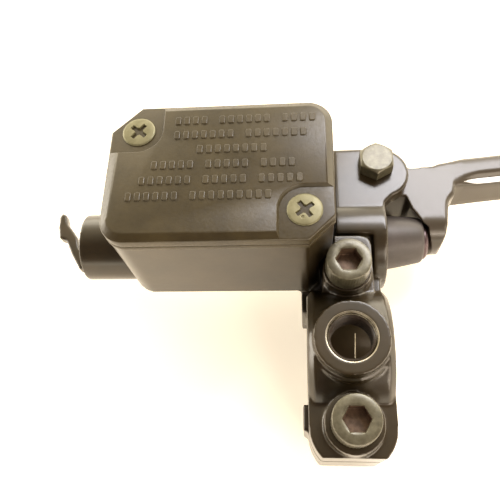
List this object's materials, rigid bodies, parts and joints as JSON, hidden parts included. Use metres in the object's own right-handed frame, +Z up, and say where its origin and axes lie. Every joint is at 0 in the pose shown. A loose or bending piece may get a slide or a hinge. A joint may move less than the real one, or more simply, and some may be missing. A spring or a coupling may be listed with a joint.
{
  "type": "handlebar brake master cylinder",
  "caption": "Handlebar brake master cylinder with a square fluid reservoir, split clamp with threaded mirror boss, bracket and hinged hand lever.",
  "frame": {"origin": "on the handlebar's axis, at the middle of the clamp's width", "axes": "+X along the handlebar towards the lever, +Y away from the rider, +Z up along the mirror thread"},
  "size_m": [0.2541, 0.0814, 0.0534],
  "materials": {
    "black_casting": "satin black paint over a die casting",
    "plated_steel": "yellow zinc plate",
    "bright_steel": "turned",
    "anodised_piston": "turned and anodised",
    "black_rubber": "moulded",
    "white_plastic": "moulded"
  },
  "bodies": {
    "housing": {"cylinder_body": "black_casting", "reservoir_tank": "black_casting", "clamp_holder": "black_casting", "clamp_bolts": "plated_steel", "reservoir_cap": "black_casting", "cap_screws": "plated_steel", "diaphragm_plate": "white_plastic", "diaphragm": "black_rubber", "port_shield": "bright_steel", "return_spring": "bright_steel", "stop_washer": "bright_steel", "circlip": "bright_steel", "dust_boot": "black_rubber", "pivot_bolt": "plated_steel", "pivot_nut": "plated_steel"},
    "lever": {"brake_lever": "black_casting", "pivot_sleeve": "bright_steel"},
    "piston_group": {"piston": "anodised_piston", "primary_cup": "black_rubber", "cup_shim": "bright_steel", "secondary_cup": "black_rubber", "spring_retainer": "bright_steel"}
  },
  "joints": [
    {"name": "lever_pivot", "type": "hinge", "parent": "housing", "child": "lever", "pos_m": [0.0092, 0.0491, -0.0048], "axis": [0, 0, 1], "range_deg": [-18, 0], "stiffness_Nm_per_rad": 0.35, "springref_deg": 17.19},
    {"name": "piston_slide", "type": "slide", "parent": "housing", "child": "piston_group", "axis": [1, 0, 0], "range_m": [-0.0058, 0], "stiffness_N_per_m": 400, "springref_m": 0.012, "deforming": ["return_spring", "dust_boot"]}
  ],
  "couplings": [
    {"joint": "piston_slide", "follows": "lever_pivot", "m_per_rad": 0.018}
  ]
}
